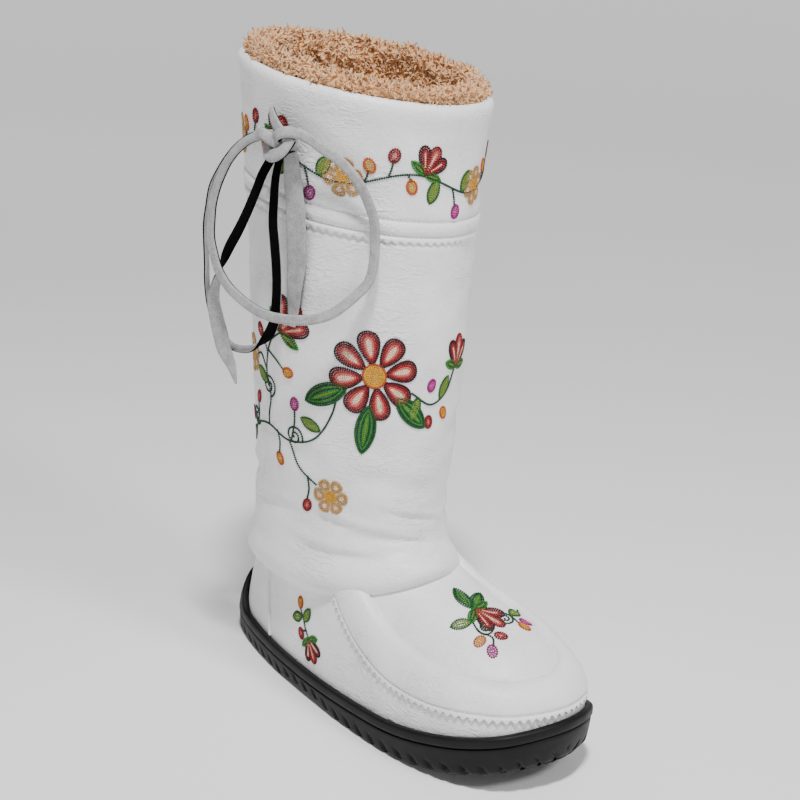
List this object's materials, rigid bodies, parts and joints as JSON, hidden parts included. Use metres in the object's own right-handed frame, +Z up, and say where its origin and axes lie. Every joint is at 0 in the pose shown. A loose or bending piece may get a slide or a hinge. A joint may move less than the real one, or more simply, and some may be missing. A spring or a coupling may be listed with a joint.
{
  "type": "mukluk boot",
  "caption": "Tall soft leather winter boot with a rubber cup sole, a moccasin toe, a rolled cuff with a tied suede lace, bead embroidery and a deep wool lining.",
  "frame": {"origin": "middle of the boot's box on the floor it stands on", "axes": "+X to the toe, +Y to the wearer's left, which is the boot's medial side, +Z up"},
  "size_m": [0.277, 0.1664, 0.3946],
  "materials": {
    "sole_rubber": "moulded, satin",
    "white_leather": "fine grain, soft sheen",
    "fleece": "deep wool pile",
    "lace_suede": "flat suede, black on its back"
  },
  "bodies": {
    "root": {"outsole": "sole_rubber", "insole": "fleece", "upper": "white_leather", "vamp": "white_leather", "heel_seam_lateral": "white_leather", "heel_seam_medial": "white_leather", "cuff": "white_leather", "shearling_lining": "fleece", "lace_knot": "lace_suede", "lace_loop_front": "lace_suede", "lace_loop_back": "lace_suede", "lace_tail_front": "lace_suede", "lace_tail_back": "lace_suede"}
  },
  "joints": []
}
